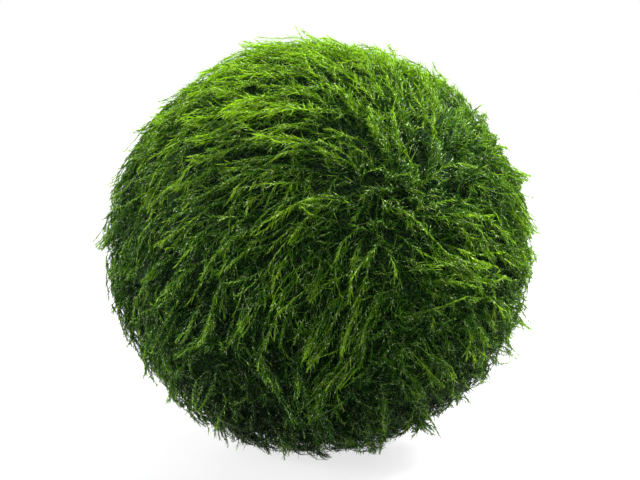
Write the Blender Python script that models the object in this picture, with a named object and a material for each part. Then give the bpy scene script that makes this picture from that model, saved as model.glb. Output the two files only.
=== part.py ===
"""A marimo: a ball of freshwater alga, grown as one piece and resting on a small flat spot.

The plant is one tangle of branching threads with no stem, root, core or skin, so it is one solid.
The solid reaches the tips of the threads. It is a slightly flattened sphere with shallow swells,
where clumps of threads have grown further, and the spot that the ball settled on is cut flat.

Units are metres and +Z is up. The origin is the middle of the flat spot, on the resting plane.
"""

import math

import bpy
from mathutils import Vector

# Driving dimensions
BALL_WIDTH = 0.050  # across, from tip to tip
ROUND_HEIGHT = 0.0488  # height that the ball would have with no flat spot
FLAT_DIAMETER = 0.012  # width of the spot that it rests on
SWELL_HEIGHT = 0.0004  # from the lowest hollow to the highest swell of the outline
SWELL_SPACING = 0.016  # distance from one swell to the next

# How finely the round surface is divided, and how far the cutter reaches past the ball
SPHERE_SUBDIVISIONS = 5
CUTTER_MARGIN = 0.005

# Finish of the wet threads
MOSS_GREEN = (0.075, 0.160, 0.014, 1.0)
MOSS_ROUGHNESS = 0.45


def clear_scene():
    for old in list(bpy.data.objects):
        bpy.data.objects.remove(old)


def new_collection(name):
    collection = bpy.data.collections.new(name)
    bpy.context.scene.collection.children.link(collection)
    return collection


def move_to(obj, collection):
    for holder in list(obj.users_collection):
        holder.objects.unlink(obj)
    collection.objects.link(obj)


def moss_material():
    material = bpy.data.materials.new("wet_moss")
    material.use_nodes = True
    surface = material.node_tree.nodes["Principled BSDF"]
    surface.inputs["Base Color"].default_value = MOSS_GREEN
    surface.inputs["Roughness"].default_value = MOSS_ROUGHNESS
    surface.inputs["Metallic"].default_value = 0.0
    return material


def evaluated_corners(obj):
    """Lowest and highest corner of the object in world space, with its modifiers."""
    bpy.context.view_layer.update()
    evaluated = obj.evaluated_get(bpy.context.evaluated_depsgraph_get())
    points = [evaluated.matrix_world @ vertex.co for vertex in evaluated.data.vertices]
    lowest = Vector(min(point[axis] for point in points) for axis in range(3))
    highest = Vector(max(point[axis] for point in points) for axis in range(3))
    return lowest, highest


def height_above_flat():
    """Height of the ball's middle over the flat spot, which is a chord of its outline."""
    share_of_width = FLAT_DIAMETER / BALL_WIDTH
    return ROUND_HEIGHT / 2 * math.sqrt(1 - share_of_width**2)


def make_round_ball():
    """The whole ball before it is cut: a flattened sphere with shallow swells."""
    bpy.ops.mesh.primitive_ico_sphere_add(
        subdivisions=SPHERE_SUBDIVISIONS, radius=BALL_WIDTH / 2
    )
    ball = bpy.context.active_object
    ball.name = "moss_ball"
    ball.data.name = "moss_ball"
    ball.scale.z = ROUND_HEIGHT / BALL_WIDTH
    bpy.ops.object.transform_apply(location=False, rotation=False, scale=True)

    swells = bpy.data.textures.new("swells", "CLOUDS")
    swells.noise_scale = SWELL_SPACING
    swells.noise_depth = 0
    displace = ball.modifiers.new("swells", "DISPLACE")
    displace.texture = swells
    displace.texture_coords = "LOCAL"
    displace.strength = SWELL_HEIGHT
    ball.data.shade_smooth()
    return ball


def set_on_axis(ball):
    """Puts the middle of the swollen outline over the origin, at its height over the flat."""
    lowest, highest = evaluated_corners(ball)
    middle = (lowest + highest) / 2
    ball.location = Vector((-middle.x, -middle.y, height_above_flat() - middle.z))


def make_flat_cutter():
    """A block whose top face is the resting plane, wider than the ball all round."""
    side = BALL_WIDTH + 2 * CUTTER_MARGIN
    bpy.ops.mesh.primitive_cube_add(size=side, location=(0, 0, -side / 2))
    cutter = bpy.context.active_object
    cutter.name = "flat_spot_cutter"
    cutter.hide_render = True
    cutter.display_type = "WIRE"
    return cutter


def cut_flat_spot(ball, cutter):
    cut = ball.modifiers.new("flat_spot", "BOOLEAN")
    cut.operation = "DIFFERENCE"
    cut.solver = "EXACT"
    cut.object = cutter


def main():
    clear_scene()
    plant = new_collection("marimo_moss_ball")
    cutters = new_collection("cutters")
    ball = make_round_ball()
    ball.data.materials.append(moss_material())
    set_on_axis(ball)
    cutter = make_flat_cutter()
    cut_flat_spot(ball, cutter)
    move_to(ball, plant)
    move_to(cutter, cutters)
    lowest, highest = evaluated_corners(ball)
    size = (highest - lowest) * 1000
    print(f"moss ball: {size.x:.2f} x {size.y:.2f} x {size.z:.2f} mm")


main()
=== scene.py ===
# %% [markdown]
# # A marimo moss ball
#
# A marimo is a ball of freshwater alga. It has no stem, root or core: it is one tangle of fine
# branching threads, which water has rolled round until they lie over each other in sprays, like
# the feathers of a bird. This lesson grows those sprays on the fixed frame that a MuJoCo model of
# the ball gives us, so that the ball that is seen and the ball that falls and rolls have the same
# size and place.
#
# The first cell loads that frame and keeps its box, because every measure below starts from it.

import math

import bmesh
import bpy
import numpy as np
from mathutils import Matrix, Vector


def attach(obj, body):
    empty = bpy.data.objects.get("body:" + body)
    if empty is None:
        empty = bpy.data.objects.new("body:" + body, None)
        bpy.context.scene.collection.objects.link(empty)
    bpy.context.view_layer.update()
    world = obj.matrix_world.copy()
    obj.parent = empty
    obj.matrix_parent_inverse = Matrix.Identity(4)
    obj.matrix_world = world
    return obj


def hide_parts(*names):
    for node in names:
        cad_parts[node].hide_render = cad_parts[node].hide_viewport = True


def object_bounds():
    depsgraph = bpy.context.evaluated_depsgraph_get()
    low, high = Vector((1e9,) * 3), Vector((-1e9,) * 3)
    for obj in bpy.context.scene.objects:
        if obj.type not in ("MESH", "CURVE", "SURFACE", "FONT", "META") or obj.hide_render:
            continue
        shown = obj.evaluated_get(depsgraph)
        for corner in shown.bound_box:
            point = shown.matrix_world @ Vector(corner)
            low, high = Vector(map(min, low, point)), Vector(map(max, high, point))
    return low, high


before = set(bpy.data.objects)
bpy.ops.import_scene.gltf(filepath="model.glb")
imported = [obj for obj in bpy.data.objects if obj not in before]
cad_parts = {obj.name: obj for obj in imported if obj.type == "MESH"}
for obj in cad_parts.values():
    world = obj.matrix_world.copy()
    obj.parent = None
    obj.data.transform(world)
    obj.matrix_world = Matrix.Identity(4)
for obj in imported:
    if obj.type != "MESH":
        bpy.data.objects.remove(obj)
cad_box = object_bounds()
low, high = cad_box
print("frame nodes:", sorted(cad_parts))
print("box in mm:", [round(1000 * side, 2) for side in high - low])

# %% [markdown]
# ## The ball as a sphere to work on
#
# It is easiest to lay out threads on a sphere of radius 1 around the origin, where directions and
# distances are simple, and to turn the finished points into metres at the end. The real ball is a
# little lower than it is wide, so the last step also squeezes the height. Near the floor the
# threads are pressed flat by the ball's weight. A soft limit does that: a point that would end
# below the floor is lifted to just above it, and its neighbours are eased upwards with it.

# %% From the unit sphere to the ball
BALL_RADIUS = (high.x - low.x) / 2
FLATTENING = 0.976
MIDDLE = np.array((0.0, 0.0, high.z - FLATTENING * BALL_RADIUS))
PRESSED_DEPTH = 0.0005
SHORTEST = 1e-9


def to_ball(points):
    """Points around a unit sphere, as places on the real ball in metres."""
    placed = points * BALL_RADIUS * np.array((1.0, 1.0, FLATTENING)) + MIDDLE
    height = placed[..., 2] - low.z
    placed[..., 2] = low.z + (height + np.sqrt(height**2 + PRESSED_DEPTH**2)) / 2
    return placed


def unit(vectors):
    """The same directions with length 1."""
    return vectors / np.maximum(np.linalg.norm(vectors, axis=-1, keepdims=True), SHORTEST)


print(f"radius {1000 * BALL_RADIUS:.2f} mm, middle {1000 * MIDDLE[2]:.2f} mm above the floor")

# %% [markdown]
# ## Smooth randomness
#
# Nothing on a plant repeats, but neighbours are alike. A sum of a dozen waves, each with its own
# direction and phase, gives a value that drifts smoothly over the ball. Its slope is easy to work
# out as well, and the lay of the threads will need it. The generator gets a seed, so that each
# run grows the same ball.

# %% Waves that drift over the ball
WAVE_COUNT = 14


def make_waves(seed, frequency):
    """Directions and phases of waves with about that many radians for each radius."""
    dice = np.random.default_rng(seed)
    headings = unit(dice.normal(size=(WAVE_COUNT, 3)))
    paces = frequency * dice.uniform(0.7, 1.3, size=(WAVE_COUNT, 1))
    return headings * paces, dice.uniform(0, 2 * math.pi, WAVE_COUNT)


def drift(points, waves):
    """A smooth value, mostly between -1 and 1, at each point."""
    paces, phases = waves
    return np.sin(points @ paces.T + phases).sum(axis=-1) / math.sqrt(WAVE_COUNT / 2) / 2


def drift_slope(points, waves):
    """The direction in which that value grows, at each point."""
    paces, phases = waves
    return np.cos(points @ paces.T + phases) @ paces


patch_waves = make_waves(seed=5, frequency=5.0)
sample = unit(np.random.default_rng(1).normal(size=(2000, 3)))
print("spread of the drift:", round(float(drift(sample, patch_waves).std()), 2))

# %% [markdown]
# ## The lay of the threads
#
# On the real ball the sprays leave a few whorls and sweep round the ball from there, as hair does
# on a head. An animator would comb a hair system by hand. Here a handful of whorls and two sweeps
# do the same work. From a whorl the threads lead away on all sides, and the great one also turns
# them, more and more with distance, as a spiral does. All threads hang a little, because they are
# soft and wet. Behind the ball the slope of a slow drift takes over, which has whorls of its own.
# Turned by a quarter, a slope leads round its hills instead of up them, and then the threads
# seldom run against each other and pile up in a ridge.
#
# A place on the front is how far across and how far up it is, as shares of the radius. Turns and
# headings are in degrees.

# %% Comb the ball
GREAT_WHORL = {"across": 0.3, "up": 0.2, "turn": 35, "reach": 1.2, "strength": 1.0}
SMALL_WHORLS = (
    {"across": 0.4, "up": -0.2, "turn": 0, "reach": 0.2, "strength": 1.6},
    {"across": 0.2, "up": -0.5, "turn": 0, "reach": 0.2, "strength": 1.3},
    {"across": -0.4, "up": -0.5, "turn": 0, "reach": 0.2, "strength": 1.6},
)
SWEEPS = (
    {"across": 0.8, "up": 0.3, "heading": -60, "strength": 1.5},
    {"across": 0.5, "up": 0.7, "heading": 110, "strength": 1.0},
)
TURN_DISTANCE = 0.3
SWEEP_FOCUS = 18.0
HANG_SHARE = 0.25
WILD_SHARE = 0.5
WILD_ALONG, WILD_ROUND = 0.3, 0.9
wild_waves = make_waves(seed=23, frequency=3.2)


def on_front(across, up):
    """The spot on the unit sphere's front that is so far across and so far up."""
    return np.array((across, -math.sqrt(1 - across**2 - up**2), up))


def along_surface(directions, normals):
    """The part of each direction that lies along the surface."""
    return directions - (directions * normals).sum(-1, keepdims=True) * normals


def turned(directions, normals, angle):
    """Directions along the surface, turned by an angle about the surface's normals."""
    angle = np.asarray(angle)[..., None]
    return directions * np.cos(angle) + np.cross(normals, directions) * np.sin(angle)


def whorl_pull(points, across, up, turn, reach, strength):
    """Leads away from the whorl, turned more and more with distance, and fades with it."""
    gap = points - on_front(across, up)
    distance = np.linalg.norm(gap, axis=-1)
    angle = math.radians(turn) * (1 - np.exp(-distance / TURN_DISTANCE))
    fade = strength * np.exp(-((distance / reach) ** 2))
    return fade[..., None] * turned(unit(along_surface(gap, points)), points, angle)


def sweep_pull(points, across, up, heading, strength):
    """Leads one way near its spot; the heading is anticlockwise from rightwards, in degrees."""
    spot = on_front(across, up)
    right, rise = math.cos(math.radians(heading)), math.sin(math.radians(heading))
    inward = -(right * spot[0] + rise * spot[2]) / spot[1]
    fade = strength * np.exp(SWEEP_FOCUS * (points @ spot - 1))
    return fade[..., None] * unit(np.array((right, inward, rise)))


def lay_at(points):
    """The direction, along the surface, in which the threads lie at each unit vector."""
    wild = unit(drift_slope(points, wild_waves))
    behind = ((1 + points[..., 1:2]) / 2) ** 2
    wild = WILD_ALONG * wild + WILD_ROUND * np.cross(points, wild)
    pull = WILD_SHARE * behind * wild
    pull = pull - HANG_SHARE * np.array((0.0, 0.0, 1.0))
    for whorl in (GREAT_WHORL, *SMALL_WHORLS):
        pull = pull + whorl_pull(points, **whorl)
    for sweep in SWEEPS:
        pull = pull + sweep_pull(points, **sweep)
    return unit(along_surface(pull, points))


print("whorls on the front:", 1 + len(SMALL_WHORLS))

# %% [markdown]
# ## Locks and sprays
#
# The sprays aren't spread evenly. They gather in locks, a few together, and the locks overlap like
# roof tiles. Each lock starts deep in the ball, rises over the next one, and bends down at its
# tip, which leaves dark gaps between the locks. So the layout has two levels. First come the
# middles of the locks, spread by turning a golden angle from one to the next. Then each spray
# gets a root near its lock's middle, a length and a height of its own, and a path: it takes a
# short step along the lay, again and again. Some locks fan out, and others draw to a point.

# %% Spread the locks and the roots
LOCK_COUNT = 800
SPRAYS_PER_LOCK = 5
LOCK_WIDTH = 0.030
LOCK_REACH = 0.09
SPRAY_STEPS = 7
CURL_REST = 0.3
GOLDEN_ANGLE = math.pi * (3 - math.sqrt(5))
dice = np.random.default_rng(8)


def spread_over_sphere(count, jitter):
    """Unit vectors that cover the sphere evenly, each moved a little."""
    order = np.arange(count) + 0.5
    height = 1 - 2 * order / count
    ring = np.sqrt(1 - height**2)
    turn = GOLDEN_ANGLE * order
    even = np.stack((ring * np.cos(turn), ring * np.sin(turn), height), axis=-1)
    return unit(even + dice.normal(scale=jitter, size=even.shape))


def walk(starts, lengths, turns, curls):
    """Unit vectors along each path: one start, then one for each step."""
    path = [starts]
    for step in range(SPRAY_STEPS):
        here = path[-1]
        share = (step + 0.5) / SPRAY_STEPS
        heading = turned(lay_at(here), here, turns + curls * (share - CURL_REST))
        path.append(unit(here + heading * (lengths / SPRAY_STEPS)[:, None]))
    return np.stack(path, axis=1)


lock_middles = spread_over_sphere(LOCK_COUNT, jitter=0.03)
lock_lay = lay_at(lock_middles)
lock_side = np.cross(lock_middles, lock_lay)
lock_of = np.repeat(np.arange(LOCK_COUNT), SPRAYS_PER_LOCK)
upper_count = len(lock_of)
side_step = dice.normal(scale=LOCK_WIDTH, size=upper_count)
fore_step = dice.uniform(-LOCK_REACH, LOCK_REACH, size=upper_count)
upper_roots = unit(
    lock_middles[lock_of]
    + side_step[:, None] * lock_side[lock_of]
    + fore_step[:, None] * lock_lay[lock_of]
)
print("locks:", LOCK_COUNT, "sprays in locks:", upper_count)

# %% [markdown]
# Each path has two parts. Along the surface it follows the lay, turned a little for the whole lock
# and a little more for each spray, and it curls. Above the surface it follows a height: from the
# root, up to a crest past the middle of the spray, and down again to the tip. Some locks keep
# rising instead and draw to a point. They are the tufts that stand out along the ball's outline,
# and a few single strays stand out between them.

# %% Walk the sprays of the locks over the ball
UPPER_LENGTH = (0.22, 0.40)
ROOT_HEIGHT = 0.87
CREST_HEIGHT = (0.925, 0.996)
TIP_DROOP = 0.03
TUFT_SHARE = 0.34
TUFT_RISE = (0.03, 0.09)
STRAY_SHARE = 0.05
STRAY_RISE = (0.01, 0.045)
CREST_SHARE = 0.62
LOCK_TURN, SPRAY_TURN, SPRAY_CURL = math.radians(10), math.radians(12), math.radians(32)
LOCK_PATH = 0.31
LOCK_LENGTH = (0.8, 1.15)
LOCK_GATHER = (-0.5, 0.75)
TUFT_GATHER = 0.88
GATHER_BEND = 1.5
MIDDLE_LIFT, LOCK_LIFT, SIDE_DROP, LIFT_SPREAD = 0.3, 0.6, 20, 0.25

along = np.linspace(0, 1, SPRAY_STEPS + 1)
lock_turn = dice.normal(scale=LOCK_TURN, size=LOCK_COUNT)
lock_lift = dice.uniform(-1, 1, size=LOCK_COUNT)
lock_length = dice.uniform(*LOCK_LENGTH, size=LOCK_COUNT)
lock_gather = dice.uniform(*LOCK_GATHER, size=LOCK_COUNT)
is_tuft = dice.random(LOCK_COUNT) < TUFT_SHARE
lock_gather = np.where(is_tuft, TUFT_GATHER, lock_gather)
lock_rise = dice.uniform(*TUFT_RISE, size=LOCK_COUNT)
upper_turn = lock_turn[lock_of] + dice.normal(scale=SPRAY_TURN, size=upper_count)
upper_curl = dice.normal(scale=SPRAY_CURL, size=upper_count)
upper_length = dice.uniform(*UPPER_LENGTH, size=upper_count) * lock_length[lock_of]
is_stray = dice.random(upper_count) < STRAY_SHARE

upper_paths = walk(upper_roots, upper_length, upper_turn, upper_curl)
lock_paths = walk(lock_middles, LOCK_PATH * lock_length, lock_turn, np.zeros(LOCK_COUNT))
gather = (lock_gather[lock_of, None] * along**GATHER_BEND)[..., None]
gathered = (1 - gather) * upper_paths + gather * lock_paths[lock_of]
upper_paths = unit(np.where(is_stray[:, None, None], upper_paths, gathered))


def raised(paths, crests, droops, root_height):
    """Paths on the unit sphere, lifted from the root to the crest and lowered at the tip."""
    rise = np.sin(np.minimum(along / CREST_SHARE, 1) * math.pi / 2)
    fall = np.maximum((along - CREST_SHARE) / (1 - CREST_SHARE), 0) ** 2
    heights = root_height + (crests[:, None] - root_height) * rise - droops[:, None] * fall
    return paths * heights[..., None]


lift = MIDDLE_LIFT + LOCK_LIFT * lock_lift[lock_of] - SIDE_DROP * np.abs(side_step)
lift = lift + dice.normal(scale=LIFT_SPREAD, size=upper_count)
upper_crests = np.interp(np.clip(lift, -1, 1), (-1, 1), CREST_HEIGHT)
upper_droops = np.where(
    is_stray,
    -dice.uniform(*STRAY_RISE, size=upper_count),
    TIP_DROOP * dice.uniform(-0.4, 1.0, size=upper_count),
)
tuft_droops = -lock_rise[lock_of] * dice.uniform(0.6, 1.0, size=upper_count)
upper_droops = np.where(is_tuft[lock_of], tuft_droops, upper_droops)
upper_points = raised(upper_paths, upper_crests, upper_droops, ROOT_HEIGHT)
highest = BALL_RADIUS * float(np.linalg.norm(upper_points, axis=-1).max())
print(f"highest tip {1000 * highest:.2f} mm from the middle")

# %% [markdown]
# Between and under the locks the real ball isn't bare. Short sprays of younger growth fill it,
# and they lie in all directions. They are needed most where the long ones leave each other, as in
# the middles of the whorls. So many places are tried, and a place is the more likely to be chosen
# the fewer steps of long sprays pass near it.

# %% Walk the short sprays that fill the gaps
UNDER_COUNT = 1950
UNDER_LENGTH = (0.11, 0.20)
UNDER_CREST = (0.91, 0.96)
NEAR = 0.07
TRIES = 10
CROWD_FLOOR, CROWD_POWER = 3, 2.5
BATCHES = 60
UNDER_TURN, UNDER_CURL = math.radians(80), math.radians(35)
UNDER_DROOP = (-0.02, 0.01)


def crowding(directions, paths):
    """How many steps of the paths pass near each direction."""
    steps = paths.reshape(-1, 3)
    rows = np.array_split(directions, BATCHES)
    return np.concatenate([(row @ steps.T > math.cos(NEAR)).sum(axis=1) for row in rows])


tried = spread_over_sphere(TRIES * UNDER_COUNT, jitter=0.02)
chance = 1 / (CROWD_FLOOR + crowding(tried, upper_paths)) ** CROWD_POWER
chosen = dice.choice(len(tried), UNDER_COUNT, replace=False, p=chance / chance.sum())
under_roots = tried[chosen]
under_turn = dice.normal(scale=UNDER_TURN, size=UNDER_COUNT)
under_curl = dice.normal(scale=UNDER_CURL, size=UNDER_COUNT)
under_length = dice.uniform(*UNDER_LENGTH, size=UNDER_COUNT)
under_paths = walk(under_roots, under_length, under_turn, under_curl)
under_crests = dice.uniform(*UNDER_CREST, size=UNDER_COUNT)
under_droops = dice.uniform(*UNDER_DROOP, size=UNDER_COUNT)
under_points = raised(under_paths, under_crests, under_droops, ROOT_HEIGHT)
print("short sprays:", UNDER_COUNT)

# %% [markdown]
# ## Two small shapes to copy
#
# A spray is a stem with side threads, called barbs here. There are well over a hundred thousand
# barbs, so each has to be as simple as a closed shape can be: a spike with three sides. The stem
# is a thin tube with three sides and a ring for each step of its path. Both start as cones from
# bmesh, standing on the origin with a height of 1, so that a point's height says how far along
# the thread it is. The stem's long edges are then cut into steps.

# %% Make the barb and the stem once
def cone_template(tip_radius, steps):
    """Corner positions and triangles of a three-sided cone of height 1, cut into steps."""
    mesh = bmesh.new()
    bmesh.ops.create_cone(
        mesh, cap_ends=True, segments=3, radius1=1.0, radius2=tip_radius, depth=1.0
    )
    bmesh.ops.translate(mesh, verts=mesh.verts, vec=(0, 0, 0.5))
    for step in range(1, steps):
        bmesh.ops.bisect_plane(
            mesh,
            geom=mesh.verts[:] + mesh.edges[:] + mesh.faces[:],
            plane_co=(0, 0, step / steps),
            plane_no=(0, 0, 1),
        )
    bmesh.ops.triangulate(mesh, faces=mesh.faces)
    bmesh.ops.recalc_face_normals(mesh, faces=mesh.faces)
    mesh.verts.index_update()
    corners = np.array([vertex.co for vertex in mesh.verts])
    triangles = np.array([[vertex.index for vertex in face.verts] for face in mesh.faces])
    mesh.free()
    return corners, triangles


barb_corners, barb_triangles = cone_template(tip_radius=0.0, steps=1)
stem_corners, stem_triangles = cone_template(tip_radius=0.35, steps=SPRAY_STEPS)
print("barb:", len(barb_triangles), "triangles, stem:", len(stem_triangles), "triangles")

# %% [markdown]
# ## Grow stems and barbs
#
# Each copy needs its own axes: one along the thread, one to the side along the ball's surface, and
# one outwards. With those, the corners of the small shape become points on the ball, for all
# sprays at once. The barbs leave the stem forwards and to both sides, as the barbs of a feather
# do, at angles that vary a good deal, and they are shorter towards the root and the tip.
#
# One class holds a set of sprays, so that the long ones and the short ones share the same code.

# %% A set of sprays with its stems and barbs
STEM_RADIUS = 0.0028
BARB_RADIUS = 0.0024
FIRST_BARB = 0.12
HANG = 0.26
BARB_SHADE = 0.13
LAST_BARB = 0.985
BARB_TURN = math.radians(50)
LEAST_LEAN, MORE_LEAN = math.radians(16), math.radians(18)


class SpraySet:
    """Sprays along given paths, each with the same number of barbs."""

    def __init__(self, points, barb_count, barb_length, tones):
        self.points = points
        self.tones = tones
        self.ahead = unit(np.gradient(points, axis=1))
        self.side = unit(np.cross(unit(points), self.ahead))
        self.out = np.cross(self.ahead, self.side)
        shape = (len(points), barb_count)
        order = np.arange(barb_count)
        places = (order + dice.random(shape)) / barb_count
        self.share = FIRST_BARB + (LAST_BARB - FIRST_BARB) * places
        self.turn = math.pi * (order % 2) + dice.normal(scale=BARB_TURN, size=shape)
        self.lean = LEAST_LEAN + MORE_LEAN * dice.gamma(1.4, 0.9, size=shape)
        self.lean = self.lean * (1.15 - 0.6 * self.share)
        taper = np.sin(math.pi * (0.15 + 0.78 * self.share)) ** 0.6
        vigour = dice.uniform(0.75, 1.2, size=(len(points), 1))
        self.shade = dice.normal(scale=BARB_SHADE, size=shape)
        self.reach = barb_length * taper * vigour * dice.uniform(0.45, 1.3, size=shape)

    def between(self, values, chosen):
        """Values of the path's points at the foot of each barb of the chosen sprays."""
        place = self.share[chosen] * SPRAY_STEPS
        before = np.minimum(place.astype(int), SPRAY_STEPS - 1)
        blend = (place - before)[..., None]
        rows = chosen[:, None]
        return values[rows, before] * (1 - blend) + values[rows, before + 1] * blend

    def stem_places(self, chosen):
        """Corners of the chosen stems: sprays, corners, places."""
        ring = np.rint(stem_corners[:, 2] * SPRAY_STEPS).astype(int)
        across = stem_corners[:, 0, None] * STEM_RADIUS
        outward = stem_corners[:, 1, None] * STEM_RADIUS
        return (
            self.points[chosen][:, ring]
            + across * self.side[chosen][:, ring]
            + outward * self.out[chosen][:, ring]
        )

    def barb_places(self, chosen):
        """Corners of the chosen barbs: sprays, barbs, corners, places."""
        foot = self.between(self.points, chosen)
        ahead = unit(self.between(self.ahead, chosen))
        side = unit(self.between(self.side, chosen))
        turn, lean = self.turn[chosen][..., None], self.lean[chosen][..., None]
        sideways = np.cos(turn) * side + np.sin(turn) * np.cross(ahead, side)
        downhill = unit(foot) * foot[..., 2:] - np.array((0.0, 0.0, 1.0))
        axis = unit(np.cos(lean) * ahead + np.sin(lean) * sideways + HANG * downhill)
        first = unit(np.cross(axis, foot))
        second = np.cross(axis, first)
        reach = self.reach[chosen][..., None, None] * barb_corners[:, 2, None]
        return (
            foot[..., None, :]
            + reach * axis[..., None, :]
            + BARB_RADIUS * barb_corners[:, 0, None] * first[..., None, :]
            + BARB_RADIUS * barb_corners[:, 1, None] * second[..., None, :]
        )


print("barbs start", FIRST_BARB, "of the way along each stem")

# %% [markdown]
# ## Where a point is on its thread
#
# Stems are lighter and paler than barbs, partly their own colour and partly painted sheen, roots
# are darker than tips, and each spray has a tone of its own. All of that is written into a UV map:
# u says which part of a thread a corner is on, and v is its tone, from dark and bluish to light
# and yellowish. A finish that reads only these two numbers keeps its colours wherever it is used,
# also where threads overlap by the thousand. The tone drifts in patches over the ball. Painted
# shade lowers it towards the floor, and painted light raises it towards the top and the right, the
# side of the main lamp. Threads that stand out above their neighbours get painted light, a lighter
# tone, and the short sprays under the locks get painted shade, a lower one.

# %% Kinds and tones
UV_SPREAD = 0.012
UV_EDGE = 0.001
MIDDLE_TONE = 0.366
TONE_LIMITS = (0.05, 0.8)
ROOT_SHADE, ROOT_SHARE = 0.60, 0.45
TIP_LIGHT = 0.20
LIT_HEIGHT = 0.95
LIT_GAIN = 2.0
LIT_LIMITS = (-0.10, 0.12)
tone_waves = make_waves(seed=41, frequency=7.0)


def tones_at(roots, extra):
    """The tone of each spray from where its root is, with painted shade low and painted light high
    and to the right, plus the extra given.
    """
    patches = 0.09 * drift(roots, patch_waves) + 0.07 * drift(roots, tone_waves)
    # Painted shade and light: the tone is lower towards the floor and higher towards the top and
    # the right.
    place = 0.25 * roots[:, 2] + 0.07 * roots[:, 0]
    return np.clip(MIDDLE_TONE + patches + place + extra, *TONE_LIMITS)


def tone_along(tones, share):
    """Tone at a share of the way along each spray: darker at the root, lighter at the tip."""
    shade = ROOT_SHADE + (1 - ROOT_SHADE) * np.minimum(share / ROOT_SHARE, 1)
    return tones[:, None] * shade + TIP_LIGHT * share**3


def stem_map(sprays, chosen):
    """u and v of each corner of the chosen stems."""
    kind = 0.55 + 0.40 * stem_corners[:, 2] + UV_SPREAD * stem_corners[:, 0]
    tone = tone_along(sprays.tones[chosen], stem_corners[None, :, 2])
    tone = tone + UV_SPREAD * stem_corners[:, 1]
    return np.stack(np.broadcast_arrays(kind, tone), axis=-1)


def barb_map(sprays, chosen):
    """u and v of each corner of the chosen barbs."""
    tip = barb_corners[:, 2]
    kind = 0.45 - 0.40 * tip + UV_SPREAD * barb_corners[:, 0] * (1 - tip)
    tone = tone_along(sprays.tones[chosen], sprays.share[chosen]) + sprays.shade[chosen]
    tone = tone[..., None] + UV_SPREAD * barb_corners[:, 1] * (1 - tip)
    return np.stack(np.broadcast_arrays(kind, tone), axis=-1)


# Each long spray's own random tone, plus painted light: sprays of higher, lifted locks get a
# lighter tone.
upper_random_and_lit = 0.08 * dice.normal(size=upper_count) + 0.05 * np.clip(lift, -1, 1)
upper_tones = tones_at(upper_roots, upper_random_and_lit)
# The short sprays lie under the locks, so their tone is lowered: painted shade.
under_tones = tones_at(under_roots, 0.06 * dice.normal(size=UNDER_COUNT) - 0.09)
upper_sprays = SpraySet(upper_points, barb_count=34, barb_length=0.050, tones=upper_tones)
under_sprays = SpraySet(under_points, barb_count=20, barb_length=0.054, tones=under_tones)
print("tones from", round(float(upper_tones.min()), 2), "to", round(float(upper_tones.max()), 2))

# %% [markdown]
# ## Join the copies
#
# Many thousand separate objects would be slow, and an export drops instances. So the corners of
# all copies go into one mesh in a single step. The triangles of copy number n are the triangles
# of the small shape with n times its corner count added.

# %% Join the copies into meshes
def copies(triangles, corner_count, copy_count, first):
    """Triangles of all copies, as numbers of corners in the joined mesh."""
    offsets = first + corner_count * np.arange(copy_count)
    return (offsets[:, None, None] + triangles).reshape(-1, 3)


def joined_piece(name, sprays, chosen):
    """One mesh object that holds the stems and barbs of the chosen sprays."""
    stems, barbs = sprays.stem_places(chosen), sprays.barb_places(chosen)
    corners = np.concatenate((stems.reshape(-1, 3), barbs.reshape(-1, 3)))
    stem_uv, barb_uv = stem_map(sprays, chosen), barb_map(sprays, chosen)
    maps = np.concatenate((stem_uv.reshape(-1, 2), barb_uv.reshape(-1, 2)))
    # Painted light and shade: corners that stand higher above the ball get a lighter tone, lower
    # ones a darker one.
    above = np.linalg.norm(corners, axis=1) - LIT_HEIGHT
    maps[:, 1] += np.clip(LIT_GAIN * above, *LIT_LIMITS)
    stem_total = len(chosen) * len(stem_corners)
    barb_total = len(chosen) * sprays.share.shape[1]
    triangles = np.concatenate(
        (
            copies(stem_triangles, len(stem_corners), len(chosen), 0),
            copies(barb_triangles, len(barb_corners), barb_total, stem_total),
        )
    )
    mesh = bpy.data.meshes.new(name)
    mesh.vertices.add(len(corners))
    mesh.vertices.foreach_set("co", to_ball(corners).astype(np.float32).ravel())
    mesh.loops.add(triangles.size)
    mesh.loops.foreach_set("vertex_index", triangles.astype(np.int32).ravel())
    mesh.polygons.add(len(triangles))
    mesh.polygons.foreach_set("loop_start", np.arange(0, triangles.size, 3, dtype=np.int32))
    mesh.uv_layers.new(name="OFBake").data.foreach_set(
        "uv", np.clip(maps, UV_EDGE, 1 - UV_EDGE)[triangles.ravel()].astype(np.float32).ravel()
    )
    mesh.update(calc_edges=True)
    mesh.shade_smooth()
    piece = bpy.data.objects.new(name, mesh)
    bpy.context.scene.collection.objects.link(piece)
    print(name, "triangles:", len(triangles))
    return piece


upper_groups = np.array_split(np.arange(upper_count), 4)
spray_pieces = [
    joined_piece(f"long_sprays_{letter}", upper_sprays, group)
    for letter, group in zip("abcd", upper_groups)
]
under_groups = np.array_split(np.arange(UNDER_COUNT), 2)
spray_pieces += [
    joined_piece(f"short_sprays_{letter}", under_sprays, group)
    for letter, group in zip("ab", under_groups)
]

# %% [markdown]
# ## The mat under the sprays
#
# Between the locks one looks into the dark, dense felt that the threads make deeper down. It is a
# closed surface with lumps, a little under the roots of the crests. An icosphere has faces of
# even size and no poles, and each corner is moved in or out by two drifts, a slow and a quick one.

# %% Make the mat
MAT_HEIGHT = 0.904
MAT_LUMPS = 0.016
MAT_GRAIN = 0.009
lump_waves = make_waves(seed=61, frequency=16.0)
grain_waves = make_waves(seed=62, frequency=70.0)

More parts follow.
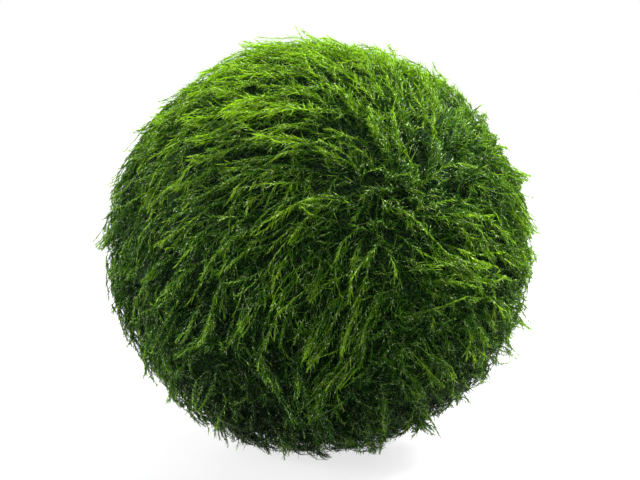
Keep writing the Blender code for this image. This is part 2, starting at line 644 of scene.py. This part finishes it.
mat_build = bmesh.new()
bmesh.ops.create_icosphere(mat_build, subdivisions=6, radius=1.0)
directions = unit(np.array([vertex.co for vertex in mat_build.verts]))
mat_level = MAT_HEIGHT + MAT_LUMPS * drift(directions, lump_waves)
mat_level = mat_level + MAT_GRAIN * drift(directions, grain_waves)
for vertex, place in zip(mat_build.verts, to_ball(directions * mat_level[:, None])):
    vertex.co = place
mat_mesh = bpy.data.meshes.new("felt_mat")
mat_build.to_mesh(mat_mesh)
mat_build.free()
mat_mesh.shade_smooth()
mat_piece = bpy.data.objects.new("felt_mat", mat_mesh)
bpy.context.scene.collection.objects.link(mat_piece)
print("mat triangles:", len(mat_mesh.polygons))

# %% [markdown]
# ## Shader maths as Python
#
# Node trees are easier to read as sums than as links. A small class wraps a socket, so that an
# expression such as `1 - mask` adds the Math node that it needs. Every other node comes from one
# method, which takes its type, its settings and what goes into its sockets.

# %% A socket that can be used in sums
class Value:
    """An output socket of a material, for use in expressions."""

    def __init__(self, finish, socket):
        self.finish = finish
        self.socket = socket

    def maths(self, operation, first, second):
        return self.finish.node("ShaderNodeMath", {"operation": operation}, {0: first, 1: second})

    def at_least(self, floor):
        return self.maths("MAXIMUM", self, floor)

    def ramped(self, start, end):
        """0 below the start, 1 above the end, and a smooth rise between them."""
        return self.finish.node(
            "ShaderNodeMapRange",
            {"interpolation_type": "SMOOTHSTEP"},
            {"Value": self, "From Min": start, "From Max": end},
        )

    def __add__(self, other):
        return self.maths("ADD", self, other)

    def __radd__(self, other):
        return self.maths("ADD", other, self)

    def __sub__(self, other):
        return self.maths("SUBTRACT", self, other)

    def __rsub__(self, other):
        return self.maths("SUBTRACT", other, self)

    def __mul__(self, other):
        return self.maths("MULTIPLY", self, other)

    def __rmul__(self, other):
        return self.maths("MULTIPLY", other, self)


class Finish:
    """A node material while it is being made."""

    def __init__(self, name):
        self.material = bpy.data.materials.new(name)
        self.material.use_nodes = True
        self.tree = self.material.node_tree
        self.tree.nodes.clear()

    def node(self, kind, settings=None, sockets=None, output=0):
        """Adds a node: its settings first, then the values and links of its sockets."""
        made = self.tree.nodes.new(kind)
        for key, setting in (settings or {}).items():
            if key == "stops":
                self.set_stops(made.color_ramp, setting)
            else:
                setattr(made, key, setting)
        for key, given in (sockets or {}).items():
            if isinstance(given, Value):
                self.tree.links.new(given.socket, made.inputs[key])
            else:
                made.inputs[key].default_value = given
        return Value(self, made.outputs[output]) if made.outputs else made

    @staticmethod
    def set_stops(ramp, stops):
        """Gives a colour ramp its stops, each a place from 0 to 1 and a colour."""
        while len(ramp.elements) < len(stops):
            ramp.elements.new(1.0)
        for element, (place, colour) in zip(ramp.elements, stops):
            element.position = place
            element.color = (*colour, 1.0)


print("node helpers ready")

# %% [markdown]
# ## The finish of wet threads
#
# A wet thread is green all through and lets light pass, so a lock against the light glows yellow
# green along its edge. A Principled shader gives the body and the wet gloss, and a Translucent
# shader mixed into it gives the glow, the more of it the lighter the tone. The colour follows the
# tone, from a near-black green to a yellow green. Along each thread a quick noise makes beads,
# which ripple the surface and mottle the colour; that mottling is partly the threads' own and
# partly painted highlight and shade. The highest beads are wet drops with a clear coat, and pale
# dashes of painted glint lie on them, mostly along the stems.

# %% Finish of the sprays
GLOW_COLOUR = (0.48, 0.73, 0.018, 1.0)
# The pale dash colour is a painted glint: a highlight of the wet film, painted into the colour.
PAINTED_GLINT_COLOUR = (0.88, 0.96, 0.55, 1.0)
PAINTED_GLINT_STRENGTH = 3.4
BEADS_ALONG_BARB, BEADS_ALONG_STEM, BEADS_BY_TONE = 12.0, 50.0, 60.0


def thread_finish():
    finish = Finish("wet_threads")
    place = finish.node("ShaderNodeUVMap", {"uv_map": "OFBake"})
    kind = finish.node("ShaderNodeSeparateXYZ", sockets={0: place})
    tone = Value(finish, kind.socket.node.outputs["Y"])
    body_colour = finish.node(
        "ShaderNodeValToRGB",
        {
            "stops": (
                (0.0, (0.001, 0.006, 0.001)),
                (0.25, (0.006, 0.033, 0.002)),
                (0.50, (0.027, 0.120, 0.003)),
                (0.75, (0.170, 0.320, 0.008)),
                (1.0, (0.420, 0.530, 0.045)),
            )
        },
        {0: tone},
    )
    # Stems get a paler, bluer tint than barbs: partly their own lighter colour, partly a painted
    # sheen.
    part_tint_and_sheen = finish.node(
        "ShaderNodeValToRGB",
        {
            "stops": (
                (0.0, (1.0, 1.0, 1.0)),
                (0.45, (0.8, 0.8, 0.8)),
                (0.55, (1.0, 1.0, 1.2)),
                (1.0, (1.2, 1.3, 1.8)),
            )
        },
        {0: kind},
    )
    tinted = finish.node(
        "ShaderNodeMix",
        {"data_type": "RGBA", "blend_type": "MULTIPLY"},
        {0: 1.0, 6: body_colour, 7: part_tint_and_sheen},
        output=2,
    )
    on_stem = (kind - 0.5).at_least(0.0)
    bead_along = BEADS_ALONG_BARB * kind + BEADS_ALONG_STEM * on_stem
    bead_place = finish.node(
        "ShaderNodeCombineXYZ", sockets={0: bead_along, 1: BEADS_BY_TONE * tone}
    )
    beads = finish.node(
        "ShaderNodeTexNoise",
        {"noise_dimensions": "2D"},
        {"Vector": bead_place, "Scale": 1.0, "Detail": 1.0},
    )
    # The beads mottle the colour along each thread: partly the threads' own mottling, partly
    # painted highlights and painted shade.
    bead_mottle_and_light = finish.node(
        "ShaderNodeValToRGB",
        {"stops": ((0.30, (0.4, 0.4, 0.4)), (0.50, (1.0, 1.0, 1.0)), (0.70, (1.5, 1.5, 1.5)))},
        {0: beads},
    )
    mottled_and_lit = finish.node(
        "ShaderNodeMix",
        {"data_type": "RGBA", "blend_type": "MULTIPLY"},
        {0: 1.0, 6: tinted, 7: bead_mottle_and_light},
        output=2,
    )
    # Painted glints: pale dashes on the highest beads, most of all on the stems, stand for
    # highlights on the wet film.
    painted_glints = beads.ramped(0.68, 0.72)
    stem_share = finish.node(
        "ShaderNodeMapRange",
        sockets={"Value": kind, "From Min": 0.45, "From Max": 0.55, "To Min": 0.5, "To Max": 1.0},
    )
    colour = finish.node(
        "ShaderNodeMix",
        {"data_type": "RGBA"},
        {0: PAINTED_GLINT_STRENGTH * (painted_glints * tone) * stem_share, 6: mottled_and_lit, 7: PAINTED_GLINT_COLOUR},
        output=2,
    )
    ripple = finish.node(
        "ShaderNodeBump", sockets={"Strength": 0.35, "Distance": 0.00005, "Height": beads}
    )
    drops = beads.ramped(0.66, 0.72)
    body = finish.node(
        "ShaderNodeBsdfPrincipled",
        sockets={
            "Base Color": colour,
            "Roughness": 0.12 + 0.30 * beads,
            "Normal": ripple,
            "IOR": 1.33,
            "Specular IOR Level": 0.05,
            "Coat Weight": drops,
            "Coat Roughness": 0.10,
            "Coat IOR": 1.5,
        },
    )
    glow = finish.node("ShaderNodeBsdfTranslucent", sockets={"Color": GLOW_COLOUR})
    glow_share = 0.03 + 0.85 * (tone * tone)
    mixed = finish.node("ShaderNodeMixShader", sockets={0: glow_share, 1: body, 2: glow})
    finish.node("ShaderNodeOutputMaterial", sockets={"Surface": mixed})
    return finish.material


# %% [markdown]
# The mat's colour is painted shade: the threads' green as it looks deep in the shade, near black.
# A fine noise stands for the cut ends and loops of its threads: it lightens a few of them and
# sinks the rest.

# %% Finish of the mat
FELT_GRAIN = 3600.0


def felt_finish():
    finish = Finish("felt_painted_shade")
    place = finish.node("ShaderNodeTexCoord", output=3)
    strands = finish.node(
        "ShaderNodeTexNoise", sockets={"Vector": place, "Scale": FELT_GRAIN, "Detail": 3.0}
    )
    # Painted shade: the felt's colours are the threads' green as seen deep in shade.
    colour = finish.node(
        "ShaderNodeValToRGB",
        {"stops": ((0.42, (0.0005, 0.003, 0.001)), (0.68, (0.016, 0.052, 0.006)))},
        {0: strands},
    )
    hollows = finish.node(
        "ShaderNodeBump", sockets={"Strength": 0.8, "Distance": 0.0003, "Height": strands}
    )
    body = finish.node(
        "ShaderNodeBsdfPrincipled",
        sockets={
            "Base Color": colour,
            "Roughness": 0.5 + 0.4 * strands,
            "Normal": hollows,
            "IOR": 1.33,
            "Specular IOR Level": 0.05,
        },
    )
    finish.node("ShaderNodeOutputMaterial", sockets={"Surface": body})
    return finish.material


thread_material = thread_finish()
felt_material = felt_finish()
for piece in spray_pieces:
    piece.data.materials.append(thread_material)
mat_piece.data.materials.append(felt_material)
print("finishes:", thread_material.name, felt_material.name)

# %% [markdown]
# ## Tell the frame what the pieces are
#
# The ball is one body, so every piece rides on it, and together the pieces stand for the plain
# solid that the physics model keeps.

# %% Pieces and the frame
for piece in (mat_piece, *spray_pieces):
    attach(piece, "root")
    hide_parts("moss_ball")
print("pieces:", len(spray_pieces) + 1)

# %% [markdown]
# ## Floor, light and camera
#
# The floor is plain and pale, and so large that its edge is lost in the white round it. A little
# light of its own keeps it white where the ball shades it.

# %% Floor
FLOOR_RADIUS = 4.0
floor_build = bmesh.new()
bmesh.ops.create_circle(floor_build, cap_ends=True, segments=96, radius=FLOOR_RADIUS)
floor_mesh = bpy.data.meshes.new("floor")
floor_build.to_mesh(floor_mesh)
floor_build.free()
floor = bpy.data.objects.new("floor", floor_mesh)
bpy.context.scene.collection.objects.link(floor)
floor_finish = Finish("pale_floor")
floor_body = floor_finish.node(
    "ShaderNodeBsdfPrincipled",
    sockets={
        "Base Color": (0.12, 0.12, 0.12, 1.0),
        "Roughness": 0.8,
        "Emission Color": (1.0, 1.0, 1.0, 1.0),
        "Emission Strength": 0.75,
    },
)
floor_finish.node("ShaderNodeOutputMaterial", sockets={"Surface": floor_body})
floor_mesh.materials.append(floor_finish.material)

# %% [markdown]
# The room is white. The main lamp is overhead, a little behind the ball and to its right. Lamps
# from the left and the right lift the two sides, and one behind the ball shines through the
# fringe, so that its outline glows. The right and back lamps are left out of reflections, where
# they would turn the threads' edges white. The glint lamp, near the viewer, does the opposite: it
# is seen only in reflections, and it makes the wet sparkle.

# %% Light
world = bpy.data.worlds.new("white_room")
bpy.context.scene.world = world
world.use_nodes = True
world.node_tree.nodes["Background"].inputs["Color"].default_value = (1.0, 1.0, 1.0, 1.0)
world.node_tree.nodes["Background"].inputs["Strength"].default_value = 1.0


def add_lamp(name, heading, strength, spread):
    """A far lamp that shines along the heading; its spread makes its shadows soft."""
    lamp = bpy.data.lights.new(name, "SUN")
    lamp.energy = strength
    lamp.angle = math.radians(spread)
    holder = bpy.data.objects.new(name, lamp)
    holder.rotation_euler = Vector(heading).to_track_quat("-Z", "Y").to_euler()
    bpy.context.scene.collection.objects.link(holder)


add_lamp("overhead_lamp", heading=(-0.75, -0.35, -1.0), strength=8.2, spread=20)
add_lamp("left_lamp", heading=(1.0, -0.25, -0.18), strength=7.5, spread=24)
add_lamp("right_lamp", heading=(-1.0, -0.60, -0.90), strength=6.0, spread=24)
add_lamp("back_lamp", heading=(0.0, -1.0, -0.06), strength=7.0, spread=40)
add_lamp("glint_lamp", heading=(0.30, 1.0, -0.8), strength=7.0, spread=20)
for name in ("right_lamp", "back_lamp"):
    bpy.data.objects[name].visible_glossy = False
bpy.data.objects["glint_lamp"].visible_diffuse = False
bpy.context.scene.view_settings.view_transform = "Standard"

# %% Camera
CAMERA_LENS = 85.0
CAMERA_DISTANCE = 0.1757
CAMERA_ELEVATION = math.radians(6)
AIM_ABOVE_MIDDLE = 0.0008
camera = bpy.data.objects.new("camera", bpy.data.cameras.new("camera"))
camera.data.lens = CAMERA_LENS
aim_point = Vector(MIDDLE) + Vector((0, 0, AIM_ABOVE_MIDDLE))
view_line = Vector((0, -math.cos(CAMERA_ELEVATION), math.sin(CAMERA_ELEVATION)))
camera.location = aim_point + CAMERA_DISTANCE * view_line
camera.rotation_euler = (-view_line).to_track_quat("-Z", "Y").to_euler()
camera.data.clip_start = 0.01
bpy.context.scene.collection.objects.link(camera)
bpy.context.scene.camera = camera
print("camera at", [round(1000 * x) for x in camera.location], "mm")
